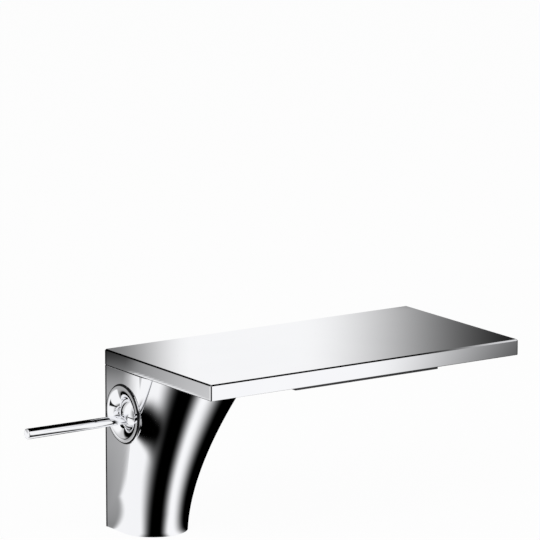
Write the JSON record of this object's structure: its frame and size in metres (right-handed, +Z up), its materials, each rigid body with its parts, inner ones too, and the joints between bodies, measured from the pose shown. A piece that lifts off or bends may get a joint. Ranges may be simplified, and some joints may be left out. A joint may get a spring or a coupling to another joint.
{
  "type": "basin mixer",
  "caption": "Chrome basin mixer: a flaring column on a rounded foot carries a wide flat shelf plate with an outlet slot under its front edge, worked by a pin lever on the side.",
  "frame": {"origin": "on the deck at the tap hole's axis, the centre of the foot's round front", "axes": "+X to the right along the shelf plate, +Y to the back, +Z up out of the deck"},
  "size_m": [0.3164, 0.128, 0.12],
  "materials": {
    "chrome": "polished",
    "brass": "cast and machined",
    "steel": "turned",
    "black_rubber": "matte",
    "dark_plastic": "satin",
    "white_plastic": "satin",
    "blue_plastic": "satin",
    "grey_plastic": "satin",
    "ceramic": "lapped"
  },
  "bodies": {
    "mixer": {"body_shell": "chrome", "base_gasket": "black_rubber", "plate_seal": "black_rubber", "valve_block": "brass", "riser_tube": "brass", "riser_rings": "black_rubber", "plate_tray": "chrome", "plate_screws": "steel", "channel_gasket": "black_rubber", "channel_lid": "white_plastic", "outlet_nozzle": "dark_plastic", "nozzle_seal": "black_rubber", "flow_straightener": "dark_plastic", "shelf_plate": "chrome", "tray_screws": "steel", "cartridge_nut": "brass", "cartridge_housing": "white_plastic", "stop_ring": "blue_plastic", "cartridge_base": "white_plastic", "port_seals": "black_rubber", "disc_seals": "black_rubber", "fixed_disc": "ceramic", "rosette": "chrome", "rosette_ring": "black_rubber"},
    "rotor": {"rotor": "grey_plastic", "pivot_pin": "steel"},
    "lever": {"lever_spindle": "steel", "lever_ball": "chrome", "lever_pin": "chrome"},
    "slider": {"disc_slider": "grey_plastic", "moving_disc": "ceramic"}
  },
  "joints": [
    {"name": "temperature_turn", "type": "hinge", "parent": "mixer", "child": "rotor", "pos_m": [-0.011, 0.0008, 0.0805], "axis": [1, 0, 0], "range_deg": [-45, 45]},
    {"name": "flow_tilt", "type": "hinge", "parent": "rotor", "child": "lever", "pos_m": [-0.011, 0.0008, 0.0805], "axis": [0, 1, 0], "range_deg": [0, 26]},
    {"name": "disc_slide", "type": "slide", "parent": "rotor", "child": "slider", "axis": [0, 0, -1], "range_m": [0, 0.0056]}
  ],
  "couplings": [
    {"joint": "disc_slide", "follows": "flow_tilt", "m_per_rad": 0.01225}
  ]
}
